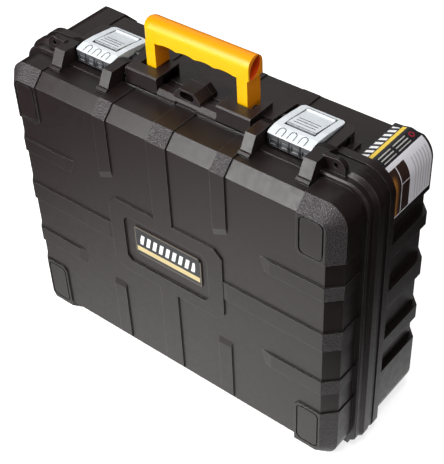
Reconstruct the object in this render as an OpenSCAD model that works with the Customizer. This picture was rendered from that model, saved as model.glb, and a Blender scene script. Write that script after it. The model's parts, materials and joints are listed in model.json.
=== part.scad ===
// Hard tool case: two moulded shells, two lever latches, a tilting carrying handle and a bottom hinge.
// Every part is drawn round the top of the parting line, then carried to the frame by place().

/* [Case] */
// Width across the end walls
case_w = 430; // [380:1:520]
// Height from bottom wall to top wall
case_h = 343; // [300:1:420]
// Depth of the lid from the parting line to its face
lid_d = 68; // [64:1:100]
// Depth of the base from the parting line to its back
base_d = 98; // [92:1:140]
// Drop from the lid top to the base top
base_step = 1.7; // [1:0.1:3]
// Height of the slant between the base top and its back
back_slant = 18.5; // [14:0.5:24]
// Wall thickness of both shells
wall = 3.2; // [2.6:0.1:4.2]
// Bevel round the face and round the back
bevel = 13.5; // [11:0.5:16]
// Corner radius of the walls seen from the front
corner_r = 22; // [18:1:28]

/* [Relief] */
// Height of ribs and pads above the face
face_relief = 1.8; // [1.2:0.1:2.6]
// Height of ribs and pads above the end walls of the lid
end_relief = 1.2; // [0.8:0.1:2]
// Height of the corner bumpers of the base above its walls
bumper = 6; // [4:0.5:7]
// Height of ribs and pads above the top wall
top_relief = 1.6; // [1:0.1:2.4]
// Width of the outer upright ribs
rib_w = 17.5; // [12:0.5:22]
// Width of the middle upright rib
mid_rib_w = 25; // [18:0.5:30]
// Distance of the outer upright ribs from the middle
rib_x = 77; // [70:1:84]
// Length of a corner pad in from the end of the face
pad_in = 32; // [26:1:38]
// Height of the centre plate
plate_h = 99; // [90:1:110]
// Length of the ramp at the end of an upright rib
ramp_h = 8; // [4:0.5:9]
// Width of the groove that frames a corner panel
ring_w = 2; // [1.2:0.1:2.6]
// Distance of that groove from the edge of its pad
ring_in = 2.5; // [1.5:0.1:3.5]

/* [Rim] */
// Height of the rim above the walls
rim_out = 10.5; // [9:0.5:12]
// Width of the lid rim
lid_rim = 21; // [19:0.5:24]
// Width of the base rim
base_rim = 13; // [10:0.5:16]
// Step down in the lid rim beside the parting line
rim_step = 1.2; // [0.6:0.1:2]
// Outer corner radius of the rim
rim_r = 30; // [26:1:36]
// Depth of the low step in front of the lid rim
low_step_d = 8; // [6:0.5:9]
// Height of the low step above the walls
low_step_h = 7; // [5:0.5:8]
// Gap left between the closed shells
seam = 0.4; // [0.3:0.1:0.6]

/* [Hinge] */
// Radius of the hinge knuckles
knuckle_r = 4.5; // [4:0.25:5]
// Radius of the hinge pins
hinge_pin_r = 1.75; // [1.5:0.05:2]
// Length of one hinge
hinge_len = 84; // [70:1:100]
// Distance of each hinge from the middle
hinge_x = 118; // [110:1:126]

/* [Latch] */
// Distance of the latches from the middle
latch_x = 125.3; // [122:0.5:128]
// Width of a latch lever
lever_w = 50.5; // [46:0.5:52]
// Thickness of the lever plate
lever_t = 2.6; // [2.2:0.1:3]
// Radius of the lever pins
lever_pin_r = 1.75; // [1.5:0.05:2]
// Radius of the hook pins
hook_pin_r = 1.25; // [1.1:0.05:1.4]
// Radius of the strike bars
strike_r = 2; // [1.8:0.1:2.1]

/* [Handle] */
// Width across the outside of the handle legs
handle_w = 129; // [124:1:132]
// Thickness of a leg across the case
leg_t = 12.5; // [11:0.5:13]
// Depth of a leg front to back
leg_d = 20.5; // [18:0.5:21]
// Height of the grip top above the top wall
grip_top = 74; // [68:1:84]
// Height of the grip section
grip_t = 24; // [22:0.5:27]
// Radius of the handle pins
handle_pin_r = 3; // [2.5:0.1:3.5]

/* [Fittings] */
// Thickness of the badge plate
badge_t = 1.4; // [0.8:0.1:1.6]
// Thickness of the corner label
label_t = 0.5; // [0.4:0.1:0.8]
// Thickness of the tool board in the lid
board_t = 3; // [2:0.5:5]

/* [Hidden] */
$fn = 64;
// Feet stand this far below the bottom wall
foot = knuckle_r + 5.5;
hinge_z = -5.5;
lid_y = -seam / 2;
base_y = seam / 2;
face_w = case_w - 2 * bevel;
// Latch pivots, measured from the parting line and the top wall
pivot_y = -15;
pivot_z = case_h + 11.5;
hook_y = 1.5;
hook_z = case_h + 14.2;
strike_y = 17;
strike_z = case_h + 10.5;
hook_w = 33;
cheek_in = latch_x - lever_w / 2 - 2;
cheek_out = latch_x + lever_w / 2 + 2;
cheek_h = 15;
post_in = cheek_in - 12.5;
post_out = cheek_out + 14;
strike_in = cheek_in - 12;
strike_out = cheek_out + 6.5;
fit = 0.05;
// Handle pivot
tilt_y = 6.3;
tilt_z = case_h + 11.5;
leg_in = handle_w / 2 - leg_t;
socket_out = handle_w / 2 + 7.5;
block_in = leg_in - 13.5;
block_out = socket_out + 8;
block_front = -20.4;
block_back = 15.5;
block_h = 22;
// Ledge at the foot of the lid rim between the inner posts, set back at its ends and in its middle
ledge_h = 2.2;
ledge_y = -lid_rim - 1;
set_back = 3;
hasp_set_back = 1.5;
// Where the height of the lid rim steps
step_y = -9;
// Floors cut into the lid rim, under the levers and under the handle blocks
lever_floor = 1.2;
block_floor = 2.6;
// Floor cut into the base rim under the levers
base_floor = 6;
// Cuts that run out of the part go on for this long
past = 5;
clear_h = 40;
// Rib and pad levels
row_top = [case_h - 91, case_h - 153, case_h - 223];
row_h = [17, 24, 19];
row_in = pad_in + 45;
pad_x = case_w / 2 - bevel - pad_in;
back_pad_x = pad_x + 7.5;
// Rise of the top of a bumper for each mm outwards
pad_rise = 0.22;
pad_low = 70;
pad_high = case_h - 62;
plate_low = case_h - 113 - plate_h;
// Top wall of the base and the underside of what stands on it
base_top = case_h - base_step;
sunk = -base_step - wall / 2;
label_x = 178;
label_z = case_h - 54;
stud_x = case_w / 2 - wall - 8;
stud_z = [70, case_h - 70];

module place() {
  translate([0, (lid_d - base_d) / 2, foot]) children();
}

// Box with rounded corners from y = 0 to y = -d, beveled by c in front and by ct at the top of the front
module form(w, z0, z1, rt, rb, d, c, ct) {
  zm = (z0 + z1) / 2;
  translate([0, 0, z0 + rb]) linear_extrude(z1 - z0 - rt - rb)
    polygon([[-w / 2, 0], [w / 2, 0], [w / 2, c - d], [w / 2 - c, -d], [c - w / 2, -d], [-w / 2, c - d]]);
  translate([rt - w / 2, 0, 0]) rotate([90, 0, 90]) linear_extrude(w - 2 * rt)
    polygon([[0, zm], [0, z1], [ct - d, z1], [-d, z1 - ct], [-d, zm]]);
  translate([rb - w / 2, 0, 0]) rotate([90, 0, 90]) linear_extrude(w - 2 * rb)
    polygon([[0, zm], [0, z0], [c - d, z0], [-d, z0 + c], [-d, zm]]);
  for (s = [-1, 1]) {
    translate([s * (w / 2 - rt), 0, z1 - rt]) corner_post(rt, d, ct);
    translate([s * (w / 2 - rb), 0, z0 + rb]) corner_post(rb, d, c);
  }
}

module corner_post(r, d, c) {
  rotate([90, 0, 0]) cylinder(h = d - c, r = r);
  translate([0, c - d, 0]) rotate([90, 0, 0]) cylinder(h = c, r1 = r, r2 = r - c);
}

module box(x0, x1, y0, y1, z0, z1) {
  translate([x0, y0, z0]) cube([x1 - x0, y1 - y0, z1 - z0]);
}

module rod(x0, x1, y, z, r) {
  translate([x0, y, z]) rotate([0, 90, 0]) cylinder(h = x1 - x0, r = r);
}

// Side profile, given as [y, z] points, drawn from x0 to x1
module side(x0, x1, pts) {
  translate([x0, 0, 0]) rotate([90, 0, 90]) linear_extrude(x1 - x0) polygon(pts);
}

// Front outline, given as [x, z] points, drawn from y0 to y1
module front(y0, y1, pts) {
  translate([0, y1, 0]) rotate([90, 0, 0]) linear_extrude(y1 - y0) polygon(pts);
}

module pair() {
  children();
  mirror([1, 0, 0]) children();
}

// Everything below a flat top and a slant that falls to y = -d
module under_slant(top, slant, d) {
  side(-case_w, case_w, [[past, -2 * foot], [past, top], [slant - d, top],
    [-d - past, top - slant - past], [-d - past, -2 * foot]]);
}

// Everything between two end slants of c
module between_ends(w, c, d) {
  translate([0, 0, -2 * foot]) linear_extrude(case_h + 4 * foot)
    polygon([[-w / 2, past], [w / 2, past], [w / 2, c - d], [w / 2 - c - past, -d - past],
      [c + past - w / 2, -d - past], [-w / 2, c - d]]);
}

module walls(d, top, slant) {
  intersection() {
    form(case_w, 0, top, corner_r, corner_r, d, bevel, bevel);
    under_slant(top, slant, d);
  }
}

// Outer limit of the ribs and pads, out from the end walls and up from the top wall
module relief(d, low, top, slant, out, up) {
  w = case_w + 2 * out;
  t = d + face_relief;
  c = bevel + out / 2;
  low_c = bevel + 4;
  intersection() {
    form(w, low, top + up, corner_r + (out + up) / 2, corner_r + 6, t, c, c);
    under_slant(top + up, slant + out / 2, t);
    between_ends(w, c, t);
    // Slant at the bottom
    side(-case_w, case_w, [[past, low - 1], [low_c - t, low], [-t - past, low + low_c + past],
      [-t - past, case_h + clear_h], [past, case_h + clear_h]]);
  }
}

// Space inside a shell
module cavity(d, top, slant) {
  thin = 0.6 * wall;
  intersection() {
    form(case_w - 2 * wall, wall, top - wall, corner_r - wall, corner_r - wall, d - wall, bevel - thin,
      bevel - thin);
    under_slant(top - wall, slant - thin, d - wall);
  }
}

// Wedge that cuts the end of an upright rib to a ramp, rising with k = 1 and falling with k = -1
module end_ramp(w, k) {
  f = face_relief;
  side(-1, 2 * w, [[0, 0], [-f, k * ramp_h], [-f - 1, k * ramp_h], [-f - 1, -k], [0, -k]]);
}

// Upright rib with a ramp at its end, which is cut on the slant where slope isn't 0
module upright(x, w, z0, z1, slope, d) {
  low = z0 < 0;
  difference() {
    front(-d - past, -d + bevel, [[x - w / 2, z0], [x + w / 2, z0 + slope], [x + w / 2, z1],
      [x - w / 2, z1]]);
    translate([x - w / 2, -d, low ? z1 : z0]) rotate([0, -atan(slope / w), 0]) end_ramp(w, low ? -1 : 1);
  }
  box(x - w / 2, x + w / 2, -d, -base_rim, low ? z0 : z1 - clear_h, low ? 1 : z1);
}

// Rows of ribs that wrap the end walls and fade out on the face
module row(z0, z1, x_in, d) {
  f = face_relief;
  fade = 14;
  pair() difference() {
    front(-d - past, -base_rim, [[x_in + 7, z0], [case_w, z0], [case_w, z1], [x_in, z1]]);
    translate([x_in, -d, z0 - 1]) linear_extrude(z1 - z0 + 2)
      polygon([[-1, -f - 1], [fade, -f - 1], [fade, -f], [0, 0], [-1, 0]]);
  }
}

// Pads on the top corners, from x_in outwards, with a top that rises from z
module pads(d, x_in, z) {
  pair() front(-d - past, -base_rim, [[x_in, pad_high + 5], [x_in + 5, pad_high], [case_w, pad_high],
    [case_w, z + pad_rise * (case_w - x_in)], [x_in, z]]);
}

module low_pads(d) {
  pair() front(-d - past, -base_rim, [[pad_x, -20], [case_w, -20], [case_w, pad_low], [pad_x + 5, pad_low],
    [pad_x, pad_low - 5]]);
}

module round_panel(x0, x1, z0, z1, r, y0, y1) {
  box(x0 + r, x1 - r, y0, y1, z0, z1);
  box(x0, x1, y0, y1, z0 + r, z1 - r);
  for (x = [x0 + r, x1 - r], z = [z0 + r, z1 - r]) {
    translate([x, y1, z]) rotate([90, 0, 0]) cylinder(h = y1 - y0, r = r);
  }
}

// Groove ring that frames a panel on each corner pad
module pad_ring(z0, z1, x0, d) {
  x1 = case_w / 2 - bevel - 1;
  g = ring_w;
  r = 7;
  pair() difference() {
    round_panel(x0, x1, z0, z1, r, -d - past, -d - 0.4);
    round_panel(x0 + g, x1 - g, z0 + g, z1 - g, r - g, -d - past - 1, -d);
  }
}

module plate_shape(d) {
  x = 78;
  z0 = plate_low;
  z1 = plate_low + plate_h;
  front(-d - past, -d + 3, [[10 - x, z0], [x - 10, z0], [x, z0 + 10], [x, z1 - 10], [x - 10, z1],
    [10 - x, z1], [-x, z1 - 10], [-x, z0 + 10]]);
}

// Ribs and plate of one shell, proud of its walls. x, w and mid_w place the uprights of the top half
module rib_set(d, top, slant, x, w, mid_w, out) {
  intersection() {
    relief(d, -out, top, slant, out, top_relief);
    union() {
      for (s = [-1, 1]) {
        upright(s * x, w, case_h - 94, case_h + 20, 8, d);
        upright(s * rib_x, rib_w, -20, 104, 0, d);
      }
      upright(0, mid_w, plate_low + plate_h - 10, case_h + 20, 0, d);
      upright(0, mid_rib_w, -20, plate_low + 10, 0, d);
      row(row_top[0] - row_h[0], row_top[0], row_in + 48, d);
      row(row_top[1] - row_h[1], row_top[1], rib_x - 8, d);
      row(row_top[2] - row_h[2], row_top[2], row_in + 48, d);
      plate_shape(d);
    }
  }
}

// Corner pads of one shell. The upper ones start at x and rise from z, up to the given height
module pad_set(d, top, slant, x, z, out, up) {
  intersection() {
    relief(d, -foot, top, slant, out, up);
    union() {
      low_pads(d);
      pads(d, x, z);
    }
  }
}

// Rim ring with a beveled outer edge, set in by less, from y = 0 to y = -d
module rim(d, less) {
  form(case_w + 2 * (rim_out - less), hinge_z, case_h + rim_out - less, rim_r - less, 12, d, 3.5, 3.5);
}

// Rim and low step of the lid, cut back in front of the handle
module lid_rims() {
  difference() {
    union() {
      translate([0, lid_y, 0]) rim(lid_rim, rim_step);
      translate([0, step_y, 0]) rim(lid_rim + step_y, 0);
    }
    pair() box(block_out + 1, post_in, -lid_rim - past, set_back - lid_rim, case_h, case_h + clear_h);
    box(-14, 14, -lid_rim - past, hasp_set_back - lid_rim, case_h, case_h + low_step_h);
  }
  difference() {
    translate([0, lid_y, 0])
      form(case_w + 14, hinge_z + 1, case_h + low_step_h, rim_r - 3, 10, lid_rim + low_step_d, 1.5, 1.5);
    box(-post_in, post_in, -lid_rim - low_step_d - past, step_y, case_h, case_h + clear_h);
  }
  // Ledge at the foot of the rim
  pair() translate([0, 0, case_h - wall / 2]) linear_extrude(ledge_h + wall / 2)
    polygon([[0, step_y], [0, ledge_y + hasp_set_back], [14, ledge_y + hasp_set_back], [16, ledge_y],
      [block_out - 2, ledge_y], [block_out + 1, ledge_y + set_back], [post_in + 1, ledge_y + set_back],
      [post_in + 1, step_y]]);
}

module knuckles(own) {
  step = hinge_len / 5;
  for (s = [-1, 1]) {
    for (k = [0:4]) {
      if (own == (k % 2)) {
        x = s * hinge_x - hinge_len / 2 + k * step;
        rod(x + 0.25, x + step - 0.25, 0, hinge_z, knuckle_r);
      }
    }
  }
}

// Room round the knuckles of the other shell
module knuckle_room(own) {
  step = hinge_len / 5;
  for (s = [-1, 1]) {
    for (k = [0:4]) {
      if (own == (k % 2)) {
        x = s * hinge_x - hinge_len / 2 + k * step;
        rod(x - 0.25, x + step + 0.25, 0, hinge_z, knuckle_r + 0.5);
      }
    }
  }
}

module hinge_bores() {
  for (s = [-1, 1]) {
    rod(s * hinge_x - hinge_len / 2 - 1, s * hinge_x + hinge_len / 2 + 1, 0, hinge_z, hinge_pin_r + fit);
  }
}

// Post that carries one end of a lever pin
module lid_post(x0, x1) {
  side(x0, x1, [[-43, -wall / 2], [-43, 4], [-34.5, 20], [-12, 20], [lid_y, 15.5], [lid_y, -wall / 2]]);
  side(x0 - 0.6, x1 + 0.6, [[-47, -wall / 2], [-47, 2.6], [-45, 4.4], [-42.4, 4.4], [-42.4, -wall / 2]]);
}

// Ear with an eye for a shoulder strap
module strap_ear() {
  difference() {
    union() {
      translate([180, -17, 12.5]) rotate([90, 0, 0]) cylinder(h = 6, r = 10);
      box(post_out - 2, 180, -23, -17, -wall / 2, 21.5);
      box(170, 190, -23, -17, -wall / 2, 12.5);
    }
    translate([180, -16, 15.5]) rotate([90, 0, 0]) cylinder(h = 8, r = 2.75);
  }
}

// Lug with a long hole for a padlock, from y0 to y1
module hasp(y0, y1) {
  difference() {
    front(y0, y1, [[-17, -wall / 2], [17, -wall / 2], [17, 14], [9, 22], [-9, 22], [-17, 14]]);
    translate([0, 0, 15.5]) hull() {
      for (s = [-1, 1]) {
        translate([s * 4.8, y1 + 1, 0]) rotate([90, 0, 0]) cylinder(h = y1 - y0 + 2, r = 4.3);
      }
    }
  }
}

module lid_shell() {
  color([0.2, 0.19, 0.2]) place() difference() {
    union() {
      translate([0, lid_y, 0]) walls(lid_d + lid_y, case_h, bevel);
      lid_rims();
      intersection() {
        union() {
          rib_set(lid_d, case_h, bevel, rib_x, rib_w, mid_rib_w, end_relief);
          pad_set(lid_d, case_h, bevel, pad_x, case_h + past, end_relief, top_relief);
        }
        box(-case_w, case_w, -lid_d - past, -lid_rim, -foot, case_h + clear_h);
      }
      translate([0, 0, case_h]) {
        pair() {
          lid_post(post_in, cheek_in);
          lid_post(cheek_out, post_out);
          strap_ear();
        }
        hasp(-19, lid_y);
      }
      knuckles(0);
      pair() low_foot(-lid_rim - 8, -8);
    }
    cavity(lid_d, case_h, bevel);
    translate([0, 0, case_h]) {
      // Lower floor under the levers, deep enough for their fronts to swing
      pair() box(cheek_in, cheek_out, -lid_rim - low_step_d - past, -4.4, lever_floor, clear_h);
      pair() box(cheek_in, cheek_out, -5, 1, base_floor, clear_h);
      // Room for the handle blocks of the base
      pair() box(block_in - 0.6, block_out + 0.6, block_front - 0.8, 1, block_floor, clear_h);
    }
    pair() rod(post_in + 3, post_out - 3, pivot_y, pivot_z, lever_pin_r + fit);
    knuckle_room(1);
    hinge_bores();
    pad_ring(pad_high + ring_in, case_h - bevel, pad_x + ring_in, lid_d);
    pad_ring(bevel - 1, pad_low - ring_in, pad_x + ring_in, lid_d);
    badge_recess();
  }
  color([0.2, 0.19, 0.2]) place() board_ledges();
}

module low_foot(y0, y1) {
  box(case_w / 2 - 34, case_w / 2 - 2, y0, y1, -foot, 1);
}

module badge_recess() {
  z0 = plate_low + 17;
  z1 = plate_low + plate_h - 18;
  front(-lid_d - past, -lid_d + 0.4, [[-58, z0 + 6], [-52, z0], [52, z0], [58, z0 + 6], [58, z1 - 6],
    [52, z1], [-52, z1], [-58, z1 - 6]]);
}

// Ledges on the end walls that carry the tool board
module board_ledges() {
  pair() difference() {
    box(case_w / 2 - wall - 13, case_w / 2 - wall / 2, -14, -11, 45, case_h - 45);
    for (z = stud_z) {
      translate([stud_x, -9, z]) rotate([90, 0, 0]) cylinder(h = 8, r = 2.2);
    }
  }
}

// One handle block, from the front of the lid rim back over the base
module handle_block() {
  side(block_in, block_out, [[block_front, 4], [block_front, block_h - 1.5], [block_front + 1.5, block_h],
    [block_back, block_h], [block_back, sunk], [base_y, sunk], [base_y, 4]]);
}

// Socket that is open at the back, inner hollow and pin bore of one handle block
module handle_socket() {
  z = tilt_z - case_h;
  difference() {
    box(leg_in - 0.4, socket_out, tilt_y - leg_d / 2 - 2, block_back + past, 0.6, clear_h);
    // Boss that keeps the leg in its place
    rod(handle_w / 2 + 0.4, socket_out + 1, tilt_y, z, handle_pin_r + 3);
  }
  box(block_in - 1, leg_in - 3.4, -11, block_back - 2, 1.5, block_h - 1.8);
  rod(leg_in - 5, socket_out + 5.4, tilt_y, z, handle_pin_r + fit);
}

// Cheeks beside one lever, which carry the ends of the strike bar
module cheeks() {
  h = cheek_h - sunk;
  difference() {
    union() {
      translate([0, 0, sunk]) linear_extrude(h) polygon([[socket_out, base_y], [cheek_in - 7, base_y],
        [cheek_in - 4, 36.5], [cheek_in - 17, 38.5], [socket_out + 7, 24], [socket_out, 22]]);
      side(cheek_in - 16.5, cheek_in - 4.2, [[36, sunk], [36, cheek_h], [48, 2.5], [48, sunk]]);
      // Outer cheek with a rounded rear corner and a low foot
      box(cheek_out, cheek_out + 11.5, base_y, 29, sunk, cheek_h);
      box(cheek_out, cheek_out + 3.5, 28, 37, sunk, cheek_h);
      translate([cheek_out + 3.5, 29, sunk]) cylinder(h = h, r = 8);
      box(cheek_out + 11, cheek_out + 17.5, base_y, 34, sunk, 2.2);
    }
    // Hollow in the outer side
    box(cheek_out + 7.5, cheek_out + 12, 4, 25, 2.5, 12.5);
    // Room for the lever
    box(cheek_in, cheek_out, 0, 40, sunk - 1, cheek_h + 1);
  }
}

module base_shell() {
  color([0.19, 0.18, 0.19]) place() difference() {
    union() {
      difference() {
        translate([0, base_y, 0]) mirror([0, 1, 0]) {
          walls(base_d - base_y, base_top, back_slant);
          rim(base_rim, 0);
        }
        // Lower floor under the levers
        pair() box(cheek_in - 7.5, cheek_out, -1, base_rim + past, case_h + base_floor, case_h + clear_h);
      }
      mirror([0, 1, 0]) intersection() {
        union() {
          rib_set(base_d, base_top, back_slant, (socket_out + cheek_in - 6) / 2, cheek_in - 6 - socket_out,
            2 * mid_rib_w, bumper);
          pad_set(base_d, base_top, back_slant, back_pad_x, base_top + top_relief, bumper, bumper);
        }
        box(-case_w, case_w, -base_d - past, 1 - base_rim, -foot, case_h + clear_h);
      }
      translate([0, 0, case_h]) {
        pair() {
          handle_block();
          cheeks();
        }
        hasp(base_y, 8);
      }
      knuckles(1);
      pair() mirror([0, 1, 0]) low_foot(-base_rim - 12, -8);
    }
    mirror([0, 1, 0]) cavity(base_d, base_top, back_slant);
    translate([0, 0, case_h]) pair() handle_socket();
    pair() rod(strike_in - 0.4, strike_out + 0.4, strike_y, strike_z, strike_r + 0.03);
    knuckle_room(0);
    hinge_bores();
    mirror([0, 1, 0]) {
      pad_ring(pad_high + ring_in, base_top - back_slant, back_pad_x + ring_in, base_d);
      pad_ring(bevel - 1, pad_low - ring_in, pad_x + ring_in, base_d);
    }
  }
}

module hinge_pin(s) {
  color([0.62, 0.62, 0.63]) place()
    rod(s * hinge_x - hinge_len / 2 + 0.4, s * hinge_x + hinge_len / 2 - 0.4, 0, hinge_z, hinge_pin_r);
}

// Carries a latch part to the right or to the left
module latch_place(s) {
  place() translate([s * latch_x, 0, 0]) children();
}

// Upright block with a half round back that runs out to the front
module arch(r, h) {
  cylinder(h = h, r = r);
  translate([-r, -9, 0]) cube([2 * r, 9, h]);
}

// Plate, front, barrel and side skirts, pierced for the hook
module latch_lever(s) {
  w = lever_w / 2;
  hw = hook_w / 2;
  cell = lever_w / 4;
  top = [[-20, 16.6], [-18.4, 18], [-9, 20.2], [6, 19.6], [38, 15.6]];
  color([0.78, 0.8, 0.82]) latch_place(s) difference() {
    union() {
      translate([0, 0, case_h]) {
        side(-w, w, concat([[-20, 3]], top, [for (k = [4, 3, 2]) top[k] - [0, lever_t]],
          [[lever_t - 20, 18 - lever_t], [lever_t - 20, 3]]));
        for (k = [-1, 1]) {
          side(k * (w - 1.3) - 1.3, k * (w - 1.3) + 1.3, [[-14, 10], [-9, 18.5], [6, 18], [36, 14.2],
            [36, 12.6], [8, 11.4], [0, 10]]);
          side(k * (hw + 2.2) - 1.7, k * (hw + 2.2) + 1.7, [[-4, 11], [-4, 18], [7, 18], [7, 11]]);
        }
      }
      rod(-w, w, pivot_y, pivot_z, 4.9);
    }
    // Window for the hook, wider at its front end
    translate([0, 0, case_h + 5]) linear_extrude(30) polygon([[-hw - 1.2, -3.2], [hw + 1.2, -3.2],
      [hw + 1.2, 8], [hw + 0.5, 13], [hw + 0.5, 34.5], [-hw - 0.5, 34.5], [-hw - 0.5, 13], [-hw - 1.2, 8]]);
    // Rounded rear corners
    for (k = [-1, 1]) {
      translate([k * w, 38, case_h]) difference() {
        box(-5, 5, -5, 5, 0, 30);
        translate([-k * 5, -5, -1]) cylinder(h = 32, r = 5);
      }
    }
    translate([0, 0, case_h]) {
      // Slots between the cells of the front, each under an arched groove
      for (k = [-1, 0, 1]) {
        translate([k * cell, 0, 0]) box(-0.6, 0.6, -22, -18, 2, 15.4);
        translate([k * cell, -13, 19.2]) rotate([13, 0, 0]) translate([0, 0, -0.8]) difference() {
          arch(3.9, 3);
          translate([0, 0, -1]) arch(3, 5);
        }
      }
      for (k = [-1.5, -0.5, 0.5, 1.5]) {
        translate([k * cell, 0, 0]) box(-3.8, 3.8, -22, -18.8, 5.4, 11.5);
      }
      // Notches where the skirts cross the strike bar
      box(-w - 1, w + 1, strike_y - 2.7, strike_y + 2.8, 5, strike_z - case_h + strike_r + 0.7);
    }
    rod(-w - 1, w + 1, pivot_y, pivot_z, lever_pin_r + fit);
    rod(-hw - 6, hw + 6, hook_y, hook_z, hook_pin_r + 0.03);
  }
}

// Sprung panel in the lever, with the tooth that catches the strike bar
module latch_hook(s) {
  w = hook_w / 2;
  tooth = strike_y + strike_r + 0.35;
  low = strike_z - case_h - strike_r - 0.3;
  color([0.8, 0.82, 0.84]) latch_place(s) difference() {
    union() {
      translate([0, 0, case_h]) {
        side(-w, w, [[-0.8, 17.8], [-0.8, 20.9], [10, 19.5], [29.5, 16.2], [31, 16.4], [31.6, 17.3],
          [33.4, 17.1], [33.8, 16.2], [33.8, 13.9], [22, 15.2], [6, 17.2]]);
        side(2 - w, w - 2, [[tooth, 16.4], [tooth, low], [tooth + 3, low], [tooth + 5, 16.4]]);
      }
      for (k = [-1, 1]) {
        rod(k * (w - 4) - 4, k * (w - 4) + 4, hook_y, hook_z, 2.7);
        box(k * (w - 4) - 4, k * (w - 4) + 4, hook_y - 2.3, hook_y + 2.7, hook_z, case_h + 18);
      }
    }
    // Grip grooves
    for (y = [5, 9.5, 14]) {
      translate([0, 0, case_h]) box(4 - w, w - 4, y - 0.6, y + 0.6, 20.1 - y / 7, 30);
    }
    rod(-w - 1, w + 1, hook_y, hook_z, hook_pin_r + fit);
  }
}

module lever_pin(s) {
  color([0.6, 0.6, 0.62]) latch_place(s)
    rod(post_in + 3.4 - latch_x, post_out - 3.4 - latch_x, pivot_y, pivot_z, lever_pin_r);
}

module hook_pin(s) {
  color([0.6, 0.6, 0.62]) latch_place(s)
    rod(-hook_w / 2 - 4, hook_w / 2 + 4, hook_y, hook_z, hook_pin_r);
}

// Coil round the hook pin, with one leg under the lever and one under the hook
module hook_spring(s) {
  color([0.55, 0.55, 0.57]) latch_place(s) translate([0, hook_y, hook_z]) {
    for (k = [-3:3]) {
      translate([k * 0.95, 0, 0]) rotate([0, 90, 0]) rotate_extrude() translate([1.95, 0]) circle(r = 0.5);
    }
    translate([-2.85, 0, -1.95]) rotate([-90, 0, 0]) cylinder(h = 6, r = 0.45);
    translate([2.85, 0, -1.95]) rotate([-90, 0, 0]) cylinder(h = 6, r = 0.45);
  }
}

module strike_bar(s) {
  color([0.62, 0.62, 0.63]) latch_place(s)
    rod(strike_in - latch_x, strike_out - latch_x, strike_y, strike_z, strike_r);
}

// Lens shaped hollow, drawn from x0 to x1
module lens(x0, x1, y, z) {
  translate([0, y, z]) rotate([-30, 0, 0]) intersection() {
    rod(x0, x1, -9.3, 0, 15.8);
    rod(x0, x1, 9.3, 0, 15.8);
  }
}

module handle() {
  zt = case_h + grip_top;
  zb = zt - grip_t;
  y0 = tilt_y - leg_d / 2;
  y1 = y0 + 22;
  x0 = 5.5 - handle_w / 2;
  x1 = handle_w / 2 + 2;
  color([0.98, 0.84, 0.05]) place() difference() {
    union() {
      // Grip with a half round top and a rounded left end
      rod(x0, x1, y0 + 11, zt - 11, 11);
      box(x0, x1, y0, y1, zb, zt - 11);
      translate([x0, y0 + 11, zt - 11]) sphere(r = 11);
      translate([x0, y0 + 11, zb]) cylinder(h = grip_t - 11, r = 11);
      pair() {
        box(leg_in, handle_w / 2, y0, y0 + leg_d, tilt_z, zb + 1);
        rod(leg_in, handle_w / 2, tilt_y, tilt_z, leg_d / 2);
      }
    }
    // Hollow in the right end of the grip
    lens(x1 - 26, x1 + 1, y0 + 10, zb + 11);
    // Finger waves
    intersection() {
      box(-leg_in + 0.5, leg_in - 0.5, y0 - 1, y1 + 1, zb - 1, zb + 3);
      union() {
        for (k = [-1.5, -0.5, 0.5, 1.5]) {
          translate([k * 24, y0 - 1, zb - 38.5]) rotate([-90, 0, 0]) cylinder(h = 24, r = 40);
        }
      }
    }
    rod(-handle_w, handle_w, tilt_y, tilt_z, handle_pin_r + fit);
  }
}

module handle_pin(s) {
  color([0.6, 0.6, 0.62]) place() mirror([(1 - s) / 2, 0, 0])
    rod(leg_in - 3.2, socket_out + 5, tilt_y, tilt_z, handle_pin_r);
}

module badge_plate() {
  z1 = plate_low + plate_h - 27;
  x = 46;
  color([0.12, 0.12, 0.14]) place() translate([3, 0, 0])
    front(-lid_d - badge_t, -lid_d + 0.1, [[-x, z1 - 34], [4 - x, z1 - 37], [x, z1 - 37], [x, z1 - 4],
      [x - 4, z1], [-x, z1]]);
}

// Label wrapped round the right top corner pad of the base
module corner_label() {
  color([0.9, 0.9, 0.88]) place() intersection() {
    difference() {
      corner_skin(0.1 + label_t);
      corner_skin(0.1);
    }
    box(label_x, case_w, base_rim + 1.5, base_d - back_slant, label_z, case_h + 30);
  }
}

module corner_skin(grow) {
  out = bumper + grow;
  z = base_top + top_relief + grow;
  intersection() {
    mirror([0, 1, 0]) form(case_w + 2 * out, 0, base_top + out, corner_r + out, 30, base_d, 5, 5);
    front(0, base_d, [[back_pad_x, 0], [case_w, 0], [case_w, z + pad_rise * (case_w - back_pad_x)],
      [back_pad_x, z]]);
  }
}

module tool_board() {
  x = case_w / 2 - wall - 1.5;
  color([0.15, 0.15, 0.16]) place() difference() {
    box(-x, x, -10.8, -10.8 + board_t, 48, case_h - 48);
    for (z = stud_z) {
      pair() translate([stud_x, -5, z]) rotate([90, 0, 0]) cylinder(h = 10, r = 2.2);
    }
  }
}

module board_stud(sx, z) {
  color([0.7, 0.7, 0.72]) place() translate([sx * stud_x, 0, z]) {
    translate([0, board_t - 10.7, 0]) rotate([-90, 0, 0]) cylinder(h = 1.6, r = 4);
    translate([0, board_t - 10.7, 0]) rotate([90, 0, 0]) cylinder(h = board_t + 4.6, r = 2.15);
  }
}

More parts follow.
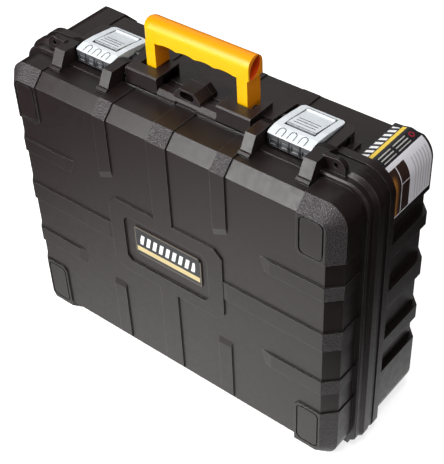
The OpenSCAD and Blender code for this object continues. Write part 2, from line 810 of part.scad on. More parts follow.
lid_shell();
base_shell();
hinge_pin(-1);  // hinge_pin_left
hinge_pin(1);  // hinge_pin_right
latch_lever(-1);  // latch_lever_left
latch_lever(1);  // latch_lever_right
latch_hook(-1);  // latch_hook_left
latch_hook(1);  // latch_hook_right
mirror([1, 0, 0]) lever_pin(1);  // lever_pin_left
lever_pin(1);  // lever_pin_right
hook_pin(-1);  // hook_pin_left
hook_pin(1);  // hook_pin_right
hook_spring(-1);  // hook_spring_left
hook_spring(1);  // hook_spring_right
mirror([1, 0, 0]) strike_bar(1);  // strike_bar_left
strike_bar(1);  // strike_bar_right
handle();
handle_pin(-1);  // handle_pin_left
handle_pin(1);  // handle_pin_right
badge_plate();
corner_label();
tool_board();
board_stud(-1, stud_z[0]);  // board_stud_1
board_stud(1, stud_z[0]);  // board_stud_2
board_stud(-1, stud_z[1]);  // board_stud_3
board_stud(1, stud_z[1]);  // board_stud_4
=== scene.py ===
import json
import math

import bpy
from mathutils import Matrix, Vector


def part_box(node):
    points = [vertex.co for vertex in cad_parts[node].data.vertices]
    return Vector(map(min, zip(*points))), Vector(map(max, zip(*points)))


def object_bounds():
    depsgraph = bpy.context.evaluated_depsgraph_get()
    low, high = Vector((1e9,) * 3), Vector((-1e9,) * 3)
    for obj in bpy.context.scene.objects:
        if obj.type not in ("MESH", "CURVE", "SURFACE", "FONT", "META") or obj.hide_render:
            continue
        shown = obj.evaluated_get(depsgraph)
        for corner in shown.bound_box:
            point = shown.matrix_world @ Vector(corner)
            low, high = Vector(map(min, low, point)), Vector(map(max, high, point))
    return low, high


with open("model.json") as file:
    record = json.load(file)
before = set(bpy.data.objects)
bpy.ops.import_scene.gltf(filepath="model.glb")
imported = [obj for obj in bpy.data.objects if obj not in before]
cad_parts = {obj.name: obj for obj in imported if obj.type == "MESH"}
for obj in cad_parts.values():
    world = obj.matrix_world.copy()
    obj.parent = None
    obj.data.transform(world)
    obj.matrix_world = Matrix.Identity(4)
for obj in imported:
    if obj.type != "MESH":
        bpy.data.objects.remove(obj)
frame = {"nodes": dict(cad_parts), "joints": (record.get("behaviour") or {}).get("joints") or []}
cad_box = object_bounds()

MM = 0.001
NODES = frame["nodes"]
JOINTS = {joint["name"]: joint for joint in frame["joints"]}

# The parting plane and the bottom wall, found from the lid hinge
HINGE_BELOW_WALL = 5.5 * MM
HINGE = Vector(JOINTS["lid_hinge"]["pos_m"])
PARTING_Y = HINGE.y
WALL_Z = HINGE.z + HINGE_BELOW_WALL

# Sizes of the case, as its CAD source gives them
CASE_W = 430 * MM
CASE_H = 343 * MM
LID_D = 68 * MM
BASE_D = 98 * MM
BEVEL = 13.5 * MM
BASE_STEP = 1.7 * MM
BACK_SLANT = 18.5 * MM
CORNER_R = 22 * MM
LABEL_R = 28.6 * MM
LATCH_X = 125.3 * MM

# The camera, fitted to the straight edges of the case. The focal length is in pixels.
PHOTO_W = 444
CAMERA_AZ = 40.78286608
CAMERA_EL = 41.35131606
CAMERA_ROLL = -2.91763736
CAMERA_FOCAL = 1097.79947457
CAMERA_AT = Vector((0.608, PARTING_Y - 0.68083, 0.9802))
SENSOR_W = 36.0


def rgb(r, g, b):
    return (r, g, b, 1.0)


WHITE = rgb(1.0, 1.0, 1.0)
BLACK = rgb(0.0, 0.0, 0.0)

# Charcoal polypropylene. The tones are those of flats, of painted shade on the lid's top, of
# painted highlights on the stipple, of painted highlights along edges and of painted shade in deep
# corners.
SHELL_TONES = (rgb(0.0130, 0.0072, 0.0070), rgb(0.0170, 0.0102, 0.0104))
SHELL_TOP_SHADE = rgb(0.006, 0.003, 0.003)
SHELL_STIPPLE_HIGHLIGHT = rgb(0.15, 0.14, 0.155)
SHELL_EDGE_HIGHLIGHT = rgb(0.21, 0.20, 0.205)
SHELL_CORNER_SHADE = rgb(0.004, 0.003, 0.003)
SHELL_ROUGH = (0.33, 0.40)
STIPPLE_ROUGH = 0.08
STIPPLE_PROUD = 0.9 * MM
STIPPLE_FADE = 0.2 * MM
STIPPLE_PER_M = 740.0
STIPPLE_DEPTH = 0.55 * MM
# Share of painted highlight on the stipple
STIPPLE_HIGHLIGHT_SHARE = 0.24
# How far painted shade darkens the upward surfaces of each shell
LID_TOP_SHADE = 0.6
BASE_TOP_SHADE = 0.0

# Silver grey latches. The front wall and its strip are measured up from the case top, and the
# hook panel back from the parting plane and out from the middle of the latch.
LATCH_TONES = (rgb(0.60, 0.64, 0.67), rgb(0.71, 0.75, 0.78))
# Painted highlight along the latches' edges
LATCH_EDGE_HIGHLIGHT = rgb(0.82, 0.84, 0.86)
# Painted shade on the front wall, and a darker painted reflection in its strip
LATCH_FRONT_SHADE = rgb(0.09, 0.092, 0.10)
LATCH_STRIP_REFLECTION = rgb(0.025, 0.024, 0.027)
LATCH_LINE = rgb(0.05, 0.05, 0.055)
# Painted shade in the latches' corners and slots
LATCH_CORNER_SHADE = rgb(0.03, 0.03, 0.033)
LATCH_ROUGH = (0.24, 0.34)
FRONT_WALL = (18.6 * MM, 18.9 * MM)
FRONT_TOP = (16.0 * MM, 15.8 * MM)
STRIP_UP = (3.9 * MM, 9.3 * MM)
PANEL_SIDE = (16.3 * MM, 17.8 * MM)
PANEL_RUN = (-3.6 * MM, 34.8 * MM)
PANEL_HALF = (17.9 * MM, 17.7 * MM)
PANEL_FRONT = (-4.0 * MM, 0.4 * MM)
PANEL_BACK = (33.0 * MM, 35.2 * MM)
PANEL_LINE_SHARE = 0.85

# Yellow handle. The hollow is a lens, where two arcs cross, that leans back in the right end of
# the grip.
HANDLE_TONES = (rgb(0.82, 0.44, 0.001), rgb(0.87, 0.50, 0.001))
# Painted shade that turns the yellow orange on the top and the ends
HANDLE_SHADE_ORANGE = rgb(0.88, 0.23, 0.003)
# Red painted shade in the hollow of the grip
HANDLE_HOLLOW_SHADE = rgb(0.75, 0.07, 0.006)
HANDLE_ROUGH = (0.26, 0.36)
HANDLE_SPECULAR = 0.3
# How far the painted orange shade reaches on the top and on the ends
ORANGE_SHADE_ON_TOP = 0.75
ORANGE_SHADE_ON_END = 0.85
HOLLOW_BACK = 10 * MM
HOLLOW_DOWN = 13 * MM
HOLLOW_LEAN = math.radians(30)
HOLLOW_ARC_OFF = 9.3 * MM
HOLLOW_ARC_R = (15.85 * MM, 16.0 * MM)
HOLLOW_DEPTH = (27.0 * MM, 26.5 * MM)

# Steel rods and springs, and the tool board
STEEL_TONES = (rgb(0.42, 0.42, 0.43), rgb(0.58, 0.58, 0.60))
STEEL_ROUGH = (0.22, 0.40)
BOARD_TONES = (rgb(0.03, 0.03, 0.031), rgb(0.05, 0.05, 0.052))
BOARD_ROUGH = 0.55

# Badge: distances up and across from its low left corner
BADGE_TONES = (rgb(0.010, 0.010, 0.012), rgb(0.018, 0.018, 0.021))
BADGE_STRIPE = rgb(0.60, 0.48, 0.23)
BADGE_FRAME = rgb(0.20, 0.17, 0.13)
BADGE_ROUGH = 0.28
BADGE_STRIPE_UP = (5.0 * MM, 11.5 * MM)
BADGE_STRIPE_IN = 2.0 * MM
BADGE_BAR_PITCH = 9.0 * MM
BADGE_BAR_EDGE = (1.9 * MM, 2.2 * MM)
BADGE_BAR_LOW = 15.5 * MM
BADGE_BAR_LEFT = 7.0 * MM
BADGE_BAR_MARGIN = 8.0 * MM
BADGE_FRAME_W = 1.1 * MM
BADGE_FRAME_SHARE = 0.6
BAR_LEAN = 0.25
BAR_WHITE = rgb(0.86, 0.86, 0.86)

# Label: "down" runs across the top from the inner edge, round the corner and on down the end, and
# "back" runs from the front edge. What is on the pale field is measured from where it begins.
LABEL_TONES = (rgb(0.012, 0.012, 0.014), rgb(0.02, 0.02, 0.023))
LABEL_STRIPE = rgb(0.80, 0.56, 0.07)
LABEL_LINE = rgb(0.55, 0.54, 0.50)
LABEL_RING = rgb(0.30, 0.02, 0.03)
LABEL_PALE = rgb(0.72, 0.70, 0.74)
LABEL_RULE = rgb(0.74, 0.72, 0.76)
LABEL_COLUMN = rgb(0.20, 0.17, 0.20)
PANEL_DARK = rgb(0.035, 0.018, 0.014)
PANEL_WARM = rgb(0.42, 0.16, 0.02)
LABEL_ROUGH = 0.3
CRISP = 0.15 * MM
PRINT_EDGE = 0.4 * MM
LABEL_BAR_PHASE = 3.9 * MM
LABEL_BAR_EDGE = (1.7 * MM, 2.0 * MM)
LABEL_BAR_DOWN = (1.6 * MM, 9.3 * MM)
LABEL_BAR_BACK = 2.5 * MM
LABEL_BAR_MARGIN = 5.0 * MM
LABEL_STRIPE_DOWN = (10.6 * MM, 15.2 * MM)
LABEL_STRIPE_MARGIN = 2.0 * MM
BEFORE_EDGE = -1.0 * MM
LINE_START = 18.6 * MM
LINE_PHASE = 1.9 * MM
LINE_EDGE = (1.15 * MM, 1.35 * MM)
LINE_DOWN = (18.0 * MM, 28.5 * MM)
LINE_COLUMNS = ((4.0 * MM, 25.0 * MM), (29.0 * MM, 50.0 * MM))
LINE_SHARE = 0.75
RING_BACK = 57.0 * MM
RING_DOWN = 24.0 * MM
RING_R = 2.6 * MM
RING_W = 1.3 * MM
PALE_PAST_TOP = 16.0 * MM
PANEL_DOWN = 5.0 * MM
PANEL_W = 27.0 * MM
GLOW_W = 9.0 * MM
GLOW_DOWN = (9.0 * MM, 18.0 * MM)
RULES_BACK = ((11.4 * MM, 12.4 * MM), (26.2 * MM, 27.4 * MM))
CROSS_RULE_DOWN = (24.0 * MM, 24.9 * MM)
CROSS_RULE_BACK = (12.0 * MM, 27.0 * MM)
COLUMN_START = 34.0 * MM
COLUMN_PHASE = 2.4 * MM
COLUMN_EDGE = (1.7 * MM, 1.9 * MM)
COLUMNS_BACK = 33.0 * MM
COLUMNS_MARGIN = 4.0 * MM
COLUMNS_DOWN = 8.0 * MM
COLUMNS_FOOT = (3.0 * MM, 3.3 * MM)
COLUMN_SHARE = 0.6
LABEL_FOOT = (1.2 * MM, 1.4 * MM)

# Floor, with the pool of light that shows in reflections, and the studio's ambient light
FLOOR_SIZE = 9.0
FLOOR_GAP = 0.2 * MM
FLOOR_TONES = (rgb(0.80, 0.80, 0.80), rgb(0.84, 0.84, 0.84))
FLOOR_ROUGH = 0.7
FLOOR_GLOW = 0.72
POOL_X = 0.13
POOL_Y = -0.12
POOL_INNER = 0.10
POOL_OUTER = 0.76
POOL_SHORT = 3.0
POOL_GLOW = 1.3
AMBIENT = 0.10
AMBIENT_MIRRORED = 0.03

# Soft lamps: direction from the middle of the case, distance, width and height in metres, watts
LAMPS = {
    "front_softbox": ((-0.36, -0.80, 0.50), 1.6, 0.62, 0.9, 27.0),
    "top_softbox": ((0.15, -0.1, 1.0), 1.4, 0.7, 0.7, 11.0),
    "low_softbox": ((-0.60, -0.80, 0.06), 1.8, 0.7, 0.35, 6.5),
    "side_softbox": ((1.0, -0.3, 0.45), 1.7, 0.6, 0.6, 3.5),
    "back_softbox": ((-0.49, 0.57, 0.66), 3.0, 2.0, 2.0, 7.0),
}


# ---------------------------------------------------------------- node helpers

class Tree:
    """A short way to write a material's nodes."""

    FULL_EDGE = 0.86
    BEVEL_SAMPLES = 6
    OPEN_SAMPLES = 8

    def __init__(self, name):
        self.material = bpy.data.materials.new(name)
        self.material.use_nodes = True
        self.nodes = self.material.node_tree.nodes
        self.links = self.material.node_tree.links
        self.nodes.clear()
        self.out = self.nodes.new("ShaderNodeOutputMaterial")
        self.shader = self.nodes.new("ShaderNodeBsdfPrincipled")
        self.links.new(self.shader.outputs[0], self.out.inputs[0])
        coords = self.nodes.new("ShaderNodeTexCoord")
        self.point = coords.outputs["Object"]
        geometry = self.nodes.new("ShaderNodeNewGeometry")
        self.normal = geometry.outputs["True Normal"]

    def put(self, socket, value):
        """Links a socket to value, or sets it to value where that is a number or a colour."""
        if isinstance(value, bpy.types.NodeSocket):
            self.links.new(value, socket)
        else:
            socket.default_value = value

    def math(self, operation, *values):
        node = self.nodes.new("ShaderNodeMath")
        node.operation = operation
        for socket, value in zip(node.inputs, values):
            self.put(socket, value)
        return node.outputs[0]

    def add(self, a, b):
        return self.math("ADD", a, b)

    def less(self, a, b):
        return self.math("SUBTRACT", a, b)

    def times(self, a, b):
        return self.math("MULTIPLY", a, b)

    def larger(self, a, b):
        return self.math("MAXIMUM", a, b)

    def size(self, a, b):
        """Length of the vector (a, b)."""
        return self.math("SQRT", self.add(self.times(a, a), self.times(b, b)))

    def split(self, vector):
        node = self.nodes.new("ShaderNodeSeparateXYZ")
        self.links.new(vector, node.inputs[0])
        return node.outputs

    def ramp(self, value, low, high, at_low=0.0, at_high=1.0):
        """value carried from low..high to at_low..at_high, smooth at both ends."""
        node = self.nodes.new("ShaderNodeMapRange")
        node.interpolation_type = "SMOOTHSTEP"
        for socket, v in zip(node.inputs, (value, low, high, at_low, at_high)):
            self.put(socket, v)
        return node.outputs[0]

    def within(self, value, low, high):
        """1 between low and high, 0 outside."""
        up = self.ramp(value, low - CRISP, low + CRISP)
        down = self.ramp(value, high - CRISP, high + CRISP, 1.0, 0.0)
        return self.times(up, down)

    def all_of(self, *values):
        result = values[0]
        for v in values[1:]:
            result = self.times(result, v)
        return result

    def any_of(self, *values):
        result = values[0]
        for v in values[1:]:
            result = self.larger(result, v)
        return result

    def mix(self, factor, a, b):
        node = self.nodes.new("ShaderNodeMix")
        node.data_type = "RGBA"
        for socket, v in zip((node.inputs[0], node.inputs[6], node.inputs[7]), (factor, a, b)):
            self.put(socket, v)
        return node.outputs[2]

    def noise(self, scale, detail=2.0, roughness=0.5):
        node = self.nodes.new("ShaderNodeTexNoise")
        self.put(node.inputs["Vector"], self.point)
        node.inputs["Scale"].default_value = scale
        node.inputs["Detail"].default_value = detail
        node.inputs["Roughness"].default_value = roughness
        return node.outputs[0]

    def cells(self, scale):
        """Distance from the middle of the nearest cell."""
        node = self.nodes.new("ShaderNodeTexVoronoi")
        self.put(node.inputs["Vector"], self.point)
        node.inputs["Scale"].default_value = scale
        return node.outputs["Distance"]

    def rounded(self, radius):
        """Normal with the edges rounded off by radius."""
        node = self.nodes.new("ShaderNodeBevel")
        node.samples = self.BEVEL_SAMPLES
        node.inputs["Radius"].default_value = radius
        return node.outputs[0]

    def edge(self, radius):
        """0 on flats, rising to 1 along sharp edges."""
        turned = self.nodes.new("ShaderNodeVectorMath")
        turned.operation = "DOT_PRODUCT"
        self.put(turned.inputs[0], self.rounded(radius))
        self.put(turned.inputs[1], self.normal)
        return self.ramp(turned.outputs["Value"], 1.0, self.FULL_EDGE)

    def open_to_light(self, distance):
        """1 on open surfaces, falling to 0 in corners and slots narrower than distance."""
        node = self.nodes.new("ShaderNodeAmbientOcclusion")
        node.samples = self.OPEN_SAMPLES
        node.inputs["Distance"].default_value = distance
        return node.outputs["AO"]

    def bump(self, height, distance, normal=None):
        node = self.nodes.new("ShaderNodeBump")
        node.inputs["Distance"].default_value = distance
        node.inputs["Strength"].default_value = 1.0
        self.put(node.inputs["Height"], height)
        if normal is not None:
            self.put(node.inputs["Normal"], normal)
        return node.outputs[0]

    def finish(self, **sockets):
        for name, value in sockets.items():
            label = name.replace("_", " ").title().replace("Ior", "IOR")
            self.put(self.shader.inputs[label], value)
        return self.material


def use(material, *names):
    for name in names:
        node = NODES[name]
        node.data.materials.clear()
        node.data.materials.append(material)


# ------------------------------------------------------------------- materials

def stipple_mask(t, depth, forward, top, top_slant):
    """1 on ribs and pads where they stand out from the bevels or the top slant of a shell."""
    x, y, z = t.split(t.point)
    _, ny, nz = t.split(t.normal)
    out = t.times(t.less(y, PARTING_Y), forward)
    up = t.less(z, WALL_Z)
    facing = t.times(ny, forward)
    slanted = t.all_of(t.ramp(facing, 0.25, 0.35), t.ramp(facing, 0.93, 0.97, 1.0, 0.0))
    # How far a point stands out from the bevels, taken round the four corners
    over_x = t.larger(t.less(t.math("ABSOLUTE", x), CASE_W / 2 - CORNER_R), 0.0)
    over_z = t.larger(t.less(up, CASE_H - CORNER_R), t.less(CORNER_R, up))
    over_z = t.larger(over_z, 0.0)
    reach = t.size(over_x, over_z)
    past_bevel = t.less(t.add(reach, out), CORNER_R - BEVEL + depth + STIPPLE_PROUD)
    past_slant = t.less(t.add(up, out), top - top_slant + depth + STIPPLE_PROUD)
    on_slant = t.all_of(t.ramp(nz, 0.3, 0.4), t.ramp(past_slant, 0.0, STIPPLE_FADE))
    return t.all_of(slanted, t.any_of(on_slant, t.ramp(past_bevel, 0.0, STIPPLE_FADE))), nz


def shell_material(name, depth, forward, top, top_slant, top_shade):
    """Charcoal polypropylene of one shell, stippled where ribs and pads cross its slants. Painted
    highlights lie on the stipple and along edges, and painted shade in corners.
    forward is -1 for the lid, which grows towards -Y from the parting plane, and 1 for the base.
    top_shade is how far painted shade darkens the upward surfaces."""
    t = Tree(name)
    stipple, nz = stipple_mask(t, depth, forward, top, top_slant)
    pits = t.cells(STIPPLE_PER_M)
    edge = t.edge(0.7 * MM)
    cloud = t.noise(14.0, 3.0)
    grain = t.noise(2600.0, 2.0, 0.6)
    patchy = t.noise(160.0, 3.0)
    stipple_highlight = t.ramp(pits, 0.25, 0.6)
    # Painted highlights along edges, made patchy
    edge_highlight = t.times(edge, t.ramp(patchy, 0.35, 0.65, 0.25, 0.6))
    tone = t.mix(cloud, *SHELL_TONES)
    # Painted shade on the upward surfaces
    tone = t.mix(t.all_of(t.ramp(nz, 0.75, 0.95), top_shade), tone, SHELL_TOP_SHADE)
    # Painted highlights on the ridges of the stipple
    tone = t.mix(t.times(stipple, t.times(stipple_highlight, STIPPLE_HIGHLIGHT_SHARE)), tone, SHELL_STIPPLE_HIGHLIGHT)
    # Painted highlights along edges
    tone = t.mix(edge_highlight, tone, SHELL_EDGE_HIGHLIGHT)
    # Painted shade in corners and slots
    tone = t.mix(t.ramp(t.open_to_light(4 * MM), 0.35, 0.85), SHELL_CORNER_SHADE, tone)
    rough = t.add(t.ramp(patchy, 0.3, 0.7, *SHELL_ROUGH), t.times(stipple, STIPPLE_ROUGH))
    fine = t.bump(grain, 0.035 * MM, t.rounded(0.6 * MM))
    deep = t.bump(t.times(pits, stipple), STIPPLE_DEPTH, fine)
    return t.finish(base_color=tone, roughness=rough, normal=deep, ior=1.49)


def latch_material():
    """Silver grey plastic, with painted highlights along edges, painted shade on the front wall
    and a darker painted reflection in a strip along its lower half, shadow lines round the hook
    panel and painted shade in corners."""
    t = Tree("latch_grey")
    cloud = t.noise(60.0, 3.0)
    grain = t.noise(2200.0, 2.0)
    x, y, z = t.split(t.point)
    _, ny, nz = t.split(t.normal)
    tone = t.mix(cloud, *LATCH_TONES)
    # Painted highlights along edges
    tone = t.mix(t.times(t.edge(0.4 * MM), 0.6), tone, LATCH_EDGE_HIGHLIGHT)
    # Painted shade darkens the front wall, and a darker painted reflection lies in a strip along
    # its lower half
    above = t.less(z, WALL_Z + CASE_H)
    wall = t.ramp(y, PARTING_Y - FRONT_WALL[0], PARTING_Y - FRONT_WALL[1])
    front = t.all_of(t.ramp(ny, -0.80, -0.95), wall)
    strip = t.all_of(front, t.within(above, *STRIP_UP))
    tone = t.mix(t.all_of(front, t.ramp(above, *FRONT_TOP)), tone, LATCH_FRONT_SHADE)
    tone = t.mix(strip, tone, LATCH_STRIP_REFLECTION)
    # Shadow lines round the hook panel
    along = t.less(y, PARTING_Y)
    off = t.math("ABSOLUTE", t.less(t.math("ABSOLUTE", x), LATCH_X))
    sides = t.all_of(t.within(off, *PANEL_SIDE), t.within(along, *PANEL_RUN))
    crossings = t.any_of(t.within(along, *PANEL_FRONT), t.within(along, *PANEL_BACK))
    ends = t.all_of(t.ramp(off, *PANEL_HALF), crossings)
    lines = t.all_of(t.ramp(nz, 0.5, 0.7), t.any_of(sides, ends), PANEL_LINE_SHARE)
    tone = t.mix(lines, tone, LATCH_LINE)
    # Painted shade in corners and slots
    tone = t.mix(t.ramp(t.open_to_light(5 * MM), 0.30, 0.80), LATCH_CORNER_SHADE, tone)
    rough = t.ramp(cloud, 0.3, 0.7, *LATCH_ROUGH)
    fine = t.bump(grain, 0.01 * MM, t.rounded(0.4 * MM))
    return t.finish(base_color=tone, roughness=rough, normal=fine, ior=1.5)


def hollow_mask(t, low, high):
    """1 on the walls of the lens shaped hollow in the right end of the grip."""
    x, y, z = t.split(t.point)
    away_y = t.less(y, low.y + HOLLOW_BACK)
    away_z = t.less(z, high.z - HOLLOW_DOWN)
    across = t.less(t.times(away_y, math.cos(HOLLOW_LEAN)), t.times(away_z, math.sin(HOLLOW_LEAN)))
    along = t.add(t.times(away_y, math.sin(HOLLOW_LEAN)), t.times(away_z, math.cos(HOLLOW_LEAN)))
    reach = t.size(t.add(t.math("ABSOLUTE", across), HOLLOW_ARC_OFF), along)
    within_lens = t.ramp(reach, *HOLLOW_ARC_R, 1.0, 0.0)
    deep = t.ramp(x, high.x - HOLLOW_DEPTH[0], high.x - HOLLOW_DEPTH[1])
    return t.times(within_lens, deep)


def handle_material():
    """Yellow plastic with painted shade that deepens it to orange on the top and the ends, and red
    painted shade in the hollow.
    """
    t = Tree("handle_yellow")
    nx, _, nz = t.split(t.normal)
    cloud = t.noise(40.0, 3.0)
    grain = t.noise(1800.0, 2.0)
    tone = t.mix(cloud, *HANDLE_TONES)
    # Painted shade turns the top and the ends orange
    tone = t.mix(t.ramp(nz, 0.15, 0.95, 0.0, ORANGE_SHADE_ON_TOP), tone, HANDLE_SHADE_ORANGE)
    tone = t.mix(t.ramp(nx, 0.2, 0.9, 0.0, ORANGE_SHADE_ON_END), tone, HANDLE_SHADE_ORANGE)
    # Red painted shade in the hollow
    tone = t.mix(hollow_mask(t, *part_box("handle")), tone, HANDLE_HOLLOW_SHADE)
    rough = t.ramp(cloud, 0.3, 0.7, *HANDLE_ROUGH)
    fine = t.bump(grain, 0.012 * MM, t.rounded(0.8 * MM))
    return t.finish(base_color=tone, roughness=rough, normal=fine, ior=1.5,
                    specular_ior_level=HANDLE_SPECULAR)


def steel_material():
    t = Tree("steel_rod")
    lines = t.noise(900.0, 2.0)
    tone = t.mix(lines, *STEEL_TONES)
    rough = t.ramp(lines, 0.3, 0.7, *STEEL_ROUGH)
    fine = t.bump(lines, 0.01 * MM)
    return t.finish(base_color=tone, roughness=rough, metallic=1.0, normal=fine)


def board_material():
    t = Tree("board_black")
    grain = t.noise(1500.0, 3.0)
    tone = t.mix(t.noise(18.0, 3.0), *BOARD_TONES)
    return t.finish(base_color=tone, roughness=BOARD_ROUGH, normal=t.bump(grain, 0.04 * MM))


def badge_material():
    """Black plate with a thin frame, a cream stripe and a plain row of white bars."""
    t = Tree("badge_print")
    low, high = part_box("badge_plate")
    x, _, z = t.split(t.point)
    across = t.less(x, low.x)
    up = t.less(z, low.z)
    width = high.x - low.x
    height = high.z - low.z
    grain = t.noise(1200.0, 2.0)
    tone = t.mix(grain, *BADGE_TONES)
    stripe = t.all_of(t.within(up, *BADGE_STRIPE_UP),
                      t.within(across, BADGE_STRIPE_IN, width - BADGE_STRIPE_IN))
    tone = t.mix(stripe, tone, BADGE_STRIPE)
    lean = t.less(across, t.times(up, BAR_LEAN))
    phase = t.math("PINGPONG", lean, BADGE_BAR_PITCH / 2)
    bars = t.all_of(t.ramp(phase, *BADGE_BAR_EDGE),
                    t.within(up, BADGE_BAR_LOW, height - BADGE_BAR_MARGIN),
                    t.within(across, BADGE_BAR_LEFT, width - BADGE_BAR_MARGIN))
    tone = t.mix(bars, tone, BAR_WHITE)
    field = t.all_of(t.within(across, BADGE_FRAME_W, width - BADGE_FRAME_W),
                     t.within(up, BADGE_FRAME_W, height - BADGE_FRAME_W))
    tone = t.mix(t.times(t.less(1.0, field), BADGE_FRAME_SHARE), tone, BADGE_FRAME)
    fine = t.bump(grain, 0.008 * MM, t.rounded(0.3 * MM))
    return t.finish(base_color=tone, roughness=BADGE_ROUGH, normal=fine, ior=1.5)


def label_distances(t, low, high):
    """back and down over the label, as above, with the width of its flat top."""
    x, y, z = t.split(t.point)
    turn_x = high.x - LABEL_R
    turn_z = high.z - LABEL_R
    over_x = t.larger(t.less(x, turn_x), 0.0)
    over_z = t.larger(t.less(z, turn_z), 0.0)
    angle = t.math("ARCTAN2", over_x, t.larger(over_z, 0.01 * MM))
    flat_w = turn_x - low.x
    flat = t.math("MINIMUM", t.less(x, low.x), flat_w)
    below = t.larger(t.less(turn_z, z), 0.0)
    down = t.add(t.add(flat, t.times(angle, LABEL_R)), below)
    return t.less(y, low.y), down, z, flat_w


def ring_mask(t, u, v):
    """1 on the small ring, whose place is given by RING_BACK and RING_DOWN."""
    reach = t.size(t.less(u, RING_BACK), t.less(v, RING_DOWN))
    return t.within(reach, RING_R - RING_W / 2, RING_R + RING_W / 2)


def label_material():
    """Film with a black field, a yellow stripe, plain bars and a pale field round a dark panel."""
    t = Tree("label_print")
    low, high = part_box("corner_label")
    back, down, z, flat_w = label_distances(t, low, high)
    length = high.y - low.y
    film = t.noise(300.0, 2.0)

    # Black field: leaning bars, stripe, lines in two columns and a ring
    tone = t.mix(film, *LABEL_TONES)
    phase = t.math("PINGPONG", t.less(back, t.times(down, BAR_LEAN)), LABEL_BAR_PHASE)
    bars = t.all_of(t.ramp(phase, *LABEL_BAR_EDGE), t.within(down, *LABEL_BAR_DOWN),
                    t.within(back, LABEL_BAR_BACK, length - LABEL_BAR_MARGIN))
    tone = t.mix(bars, tone, BAR_WHITE)
    stripe = t.all_of(t.within(down, *LABEL_STRIPE_DOWN),
                      t.within(back, BEFORE_EDGE, length - LABEL_STRIPE_MARGIN))
    tone = t.mix(stripe, tone, LABEL_STRIPE)
    line_phase = t.math("PINGPONG", t.less(down, LINE_START), LINE_PHASE)
    lines = t.all_of(t.ramp(line_phase, *LINE_EDGE), t.within(down, *LINE_DOWN),
                     t.any_of(*[t.within(back, *column) for column in LINE_COLUMNS]))
    tone = t.mix(t.times(lines, LINE_SHARE), tone, LABEL_LINE)
    tone = t.mix(ring_mask(t, back, down), tone, LABEL_RING)

    # Pale field: a dark panel with a warm glow, ruled in two ways
    pale_from = flat_w + PALE_PAST_TOP
    tone = t.mix(t.ramp(down, pale_from - CRISP, pale_from + CRISP), tone, LABEL_PALE)
    panel_from = pale_from + PANEL_DOWN
    past_top = t.ramp(down, panel_from, panel_from + PRINT_EDGE)
    warm = t.ramp(back, 0.0, GLOW_W, 1.0, 0.0)
    glow = t.all_of(warm, t.ramp(down, pale_from + GLOW_DOWN[0], pale_from + GLOW_DOWN[1]))
    panel = t.all_of(past_top, t.within(back, BEFORE_EDGE, PANEL_W))
    tone = t.mix(panel, tone, t.mix(glow, PANEL_DARK, PANEL_WARM))
    cross_rule = t.all_of(
        t.within(down, pale_from + CROSS_RULE_DOWN[0], pale_from + CROSS_RULE_DOWN[1]),
        t.within(back, *CROSS_RULE_BACK))
    rules = t.any_of(*[t.within(back, *rule) for rule in RULES_BACK], cross_rule)
    tone = t.mix(t.all_of(rules, past_top), tone, LABEL_RULE)

    # Thin columns beside the panel, and the pale edge at the foot
    column = t.math("PINGPONG", t.less(back, COLUMN_START), COLUMN_PHASE)
    columns_from = pale_from + COLUMNS_DOWN
    columns = t.all_of(t.ramp(column, *COLUMN_EDGE),
                       t.within(back, COLUMNS_BACK, length - COLUMNS_MARGIN),
                       t.ramp(down, columns_from, columns_from + PRINT_EDGE),
                       t.ramp(z, low.z + COLUMNS_FOOT[0], low.z + COLUMNS_FOOT[1]))
    tone = t.mix(t.times(columns, COLUMN_SHARE), tone, LABEL_COLUMN)
    foot = t.ramp(z, low.z + LABEL_FOOT[0], low.z + LABEL_FOOT[1], 1.0, 0.0)
    tone = t.mix(foot, tone, LABEL_RULE)
    return t.finish(base_color=tone, roughness=LABEL_ROUGH, normal=t.bump(film, 0.03 * MM),
                    ior=1.5)


def dress_nodes():
    lid = shell_material("lid_plastic", LID_D, -1.0, CASE_H, BEVEL, LID_TOP_SHADE)
    base = shell_material("base_plastic", BASE_D, 1.0, CASE_H - BASE_STEP, BACK_SLANT,
                          BASE_TOP_SHADE)
    grey = latch_material()
    steel = steel_material()
    use(lid, "lid_shell")
    use(base, "base_shell")
    for end in ("left", "right"):
        use(grey, f"latch_lever_{end}", f"latch_hook_{end}")
        use(steel, f"hinge_pin_{end}", f"lever_pin_{end}", f"hook_pin_{end}",
            f"hook_spring_{end}", f"strike_bar_{end}", f"handle_pin_{end}")
    use(steel, *[f"board_stud_{k}" for k in (1, 2, 3, 4)])
    use(handle_material(), "handle")
    use(board_material(), "tool_board")
    use(badge_material(), "badge_plate")
    use(label_material(), "corner_label")


# ----------------------------------------------------------------------- stage

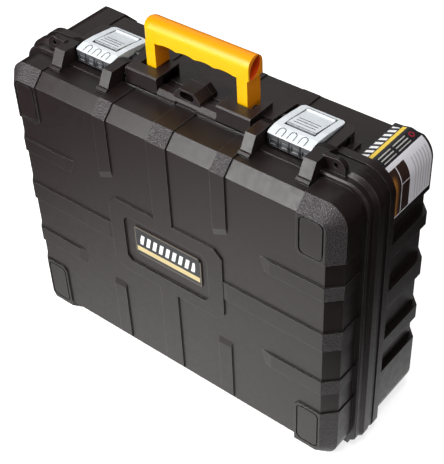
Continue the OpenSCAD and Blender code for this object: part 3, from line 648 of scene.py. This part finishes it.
def floor_material():
    """White floor. The lamps light it, it shows white to the camera, and in reflections it is a
    pool of light round the case that fades outwards."""
    t = Tree("floor_white")
    tone = t.mix(t.noise(90.0, 3.0), *FLOOR_TONES)
    path = t.nodes.new("ShaderNodeLightPath")
    x, y, _ = t.split(t.point)
    dx = t.less(x, POOL_X)
    dx = t.larger(t.times(dx, POOL_SHORT), t.times(dx, -1.0))
    reach = t.size(dx, t.less(y, POOL_Y))
    pool = t.ramp(reach, POOL_INNER, POOL_OUTER, POOL_GLOW, 0.0)
    seen = t.times(path.outputs["Is Camera Ray"], FLOOR_GLOW)
    mirrored = t.times(path.outputs["Is Glossy Ray"], pool)
    t.finish(base_color=tone, roughness=FLOOR_ROUGH)
    glow = t.nodes.new("ShaderNodeEmission")
    t.put(glow.inputs["Strength"], t.add(seen, mirrored))
    dark = t.nodes.new("ShaderNodeBsdfDiffuse")
    dark.inputs["Color"].default_value = BLACK
    body = t.nodes.new("ShaderNodeMixShader")
    t.links.new(path.outputs["Is Glossy Ray"], body.inputs[0])
    t.links.new(t.shader.outputs[0], body.inputs[1])
    t.links.new(dark.outputs[0], body.inputs[2])
    add = t.nodes.new("ShaderNodeAddShader")
    t.links.new(body.outputs[0], add.inputs[0])
    t.links.new(glow.outputs[0], add.inputs[1])
    t.links.new(add.outputs[0], t.out.inputs[0])
    return t.material


def make_floor():
    bpy.ops.mesh.primitive_plane_add(
        size=FLOOR_SIZE, location=(0.0, 0.0, cad_box[0].z - FLOOR_GAP))
    floor = bpy.context.object
    floor.name = "floor"
    floor.data.materials.append(floor_material())


def make_world():
    """White to the camera, faint everywhere else, and fainter still in reflections."""
    world = bpy.data.worlds.new("studio")
    bpy.context.scene.world = world
    world.use_nodes = True
    nodes = world.node_tree.nodes
    links = world.node_tree.links
    background = nodes["Background"]
    background.inputs["Color"].default_value = WHITE
    path = nodes.new("ShaderNodeLightPath")
    level = nodes.new("ShaderNodeMapRange")
    level.inputs["To Min"].default_value = AMBIENT
    level.inputs["To Max"].default_value = AMBIENT_MIRRORED
    links.new(path.outputs["Is Glossy Ray"], level.inputs["Value"])
    white = nodes.new("ShaderNodeMath")
    white.operation = "MAXIMUM"
    links.new(path.outputs["Is Camera Ray"], white.inputs[0])
    links.new(level.outputs[0], white.inputs[1])
    links.new(white.outputs[0], background.inputs["Strength"])


def make_lamps():
    """Area lamps that look at the middle of the case."""
    middle = (cad_box[0] + cad_box[1]) / 2
    for name, (direction, distance, width, height, power) in LAMPS.items():
        lamp = bpy.data.lights.new(name, "AREA")
        lamp.shape = "RECTANGLE"
        lamp.size = width
        lamp.size_y = height
        lamp.energy = power
        holder = bpy.data.objects.new(name, lamp)
        bpy.context.scene.collection.objects.link(holder)
        away = Vector(direction).normalized()
        holder.location = middle + away * distance
        holder.rotation_mode = "QUATERNION"
        holder.rotation_quaternion = (-away).to_track_quat("-Z", "Y")


def make_camera():
    azimuth = math.radians(CAMERA_AZ)
    elevation = math.radians(CAMERA_EL)
    roll = math.radians(CAMERA_ROLL)
    ahead = Vector((-math.sin(azimuth) * math.cos(elevation),
                    math.cos(azimuth) * math.cos(elevation),
                    -math.sin(elevation)))
    level_right = ahead.cross(Vector((0, 0, 1))).normalized()
    level_up = level_right.cross(ahead)
    right = math.cos(roll) * level_right + math.sin(roll) * level_up
    up = math.cos(roll) * level_up - math.sin(roll) * level_right
    lens = bpy.data.cameras.new("camera")
    lens.sensor_fit = "HORIZONTAL"
    lens.sensor_width = SENSOR_W
    lens.lens = CAMERA_FOCAL * SENSOR_W / PHOTO_W
    camera = bpy.data.objects.new("camera", lens)
    camera.matrix_world = Matrix((
        (right.x, up.x, -ahead.x, CAMERA_AT.x),
        (right.y, up.y, -ahead.y, CAMERA_AT.y),
        (right.z, up.z, -ahead.z, CAMERA_AT.z),
        (0, 0, 0, 1)))
    bpy.context.scene.collection.objects.link(camera)
    bpy.context.scene.camera = camera


make_camera()
dress_nodes()
make_floor()
make_world()
make_lamps()
bpy.context.scene.view_settings.view_transform = "Standard"
